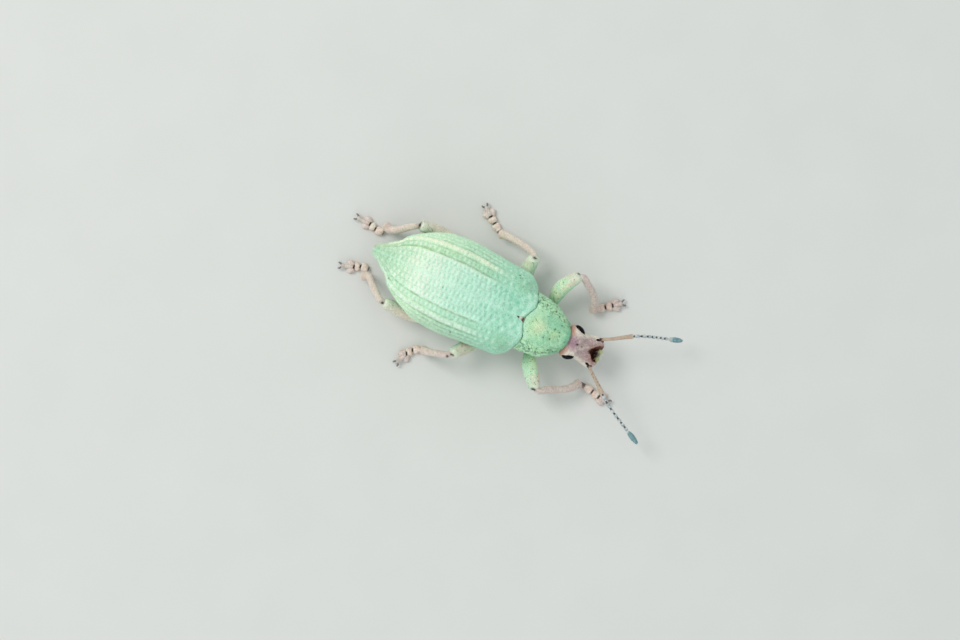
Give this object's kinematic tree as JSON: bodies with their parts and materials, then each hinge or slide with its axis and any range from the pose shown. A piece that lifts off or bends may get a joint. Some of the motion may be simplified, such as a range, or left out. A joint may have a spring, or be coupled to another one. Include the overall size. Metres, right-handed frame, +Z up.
{
  "type": "golden-headed weevil",
  "caption": "Still, life-size museum-style model of a mint-green scaled weevil with a mauve and gold rostrum, standing with its feelers stretched forward.",
  "frame": {"origin": "middle of the base, on the floor under the middle of the bounding box", "axes": "+Z up from the floor, head toward -Y, the animal's left toward +X"},
  "size_m": [0.0092, 0.0172, 0.0044],
  "materials": {
    "mint_scales": "satin pearly scales, pale mint green",
    "pronotum_scales": "satin scales, pale green with a yellow middle and black pits",
    "head_scales": "satin scales, mauve pink with cream and copper edges",
    "eye_black": "glossy black",
    "mouth_brown": "dark brown horn",
    "belly_scales": "satin pale green scales",
    "femur_scales": "satin scales, green turning pink toward the knee",
    "tibia_scales": "satin pinkish cream scales",
    "tarsus_scales": "pale pinkish grey hairy pads",
    "feeler_scales": "pale scales on black joints",
    "club_grey": "dark slate felt"
  },
  "bodies": {
    "root": {"elytron_left": "mint_scales", "elytron_right": "mint_scales", "pronotum": "pronotum_scales", "head": "head_scales", "eye_left": "eye_black", "eye_right": "eye_black", "mandibles": "mouth_brown", "hind_thorax": "belly_scales", "abdomen": "belly_scales", "scape_left": "feeler_scales", "scape_right": "feeler_scales", "funicle_left": "feeler_scales", "funicle_right": "feeler_scales", "club_left": "club_grey", "club_right": "club_grey", "femur_front_left": "femur_scales", "tibia_front_left": "tibia_scales", "tarsus_front_left": "tarsus_scales", "femur_front_right": "femur_scales", "tibia_front_right": "tibia_scales", "tarsus_front_right": "tarsus_scales", "femur_middle_left": "femur_scales", "tibia_middle_left": "tibia_scales", "tarsus_middle_left": "tarsus_scales", "femur_middle_right": "femur_scales", "tibia_middle_right": "tibia_scales", "tarsus_middle_right": "tarsus_scales", "femur_hind_left": "femur_scales", "tibia_hind_left": "tibia_scales", "tarsus_hind_left": "tarsus_scales", "femur_hind_right": "femur_scales", "tibia_hind_right": "tibia_scales", "tarsus_hind_right": "tarsus_scales"}
  },
  "joints": []
}
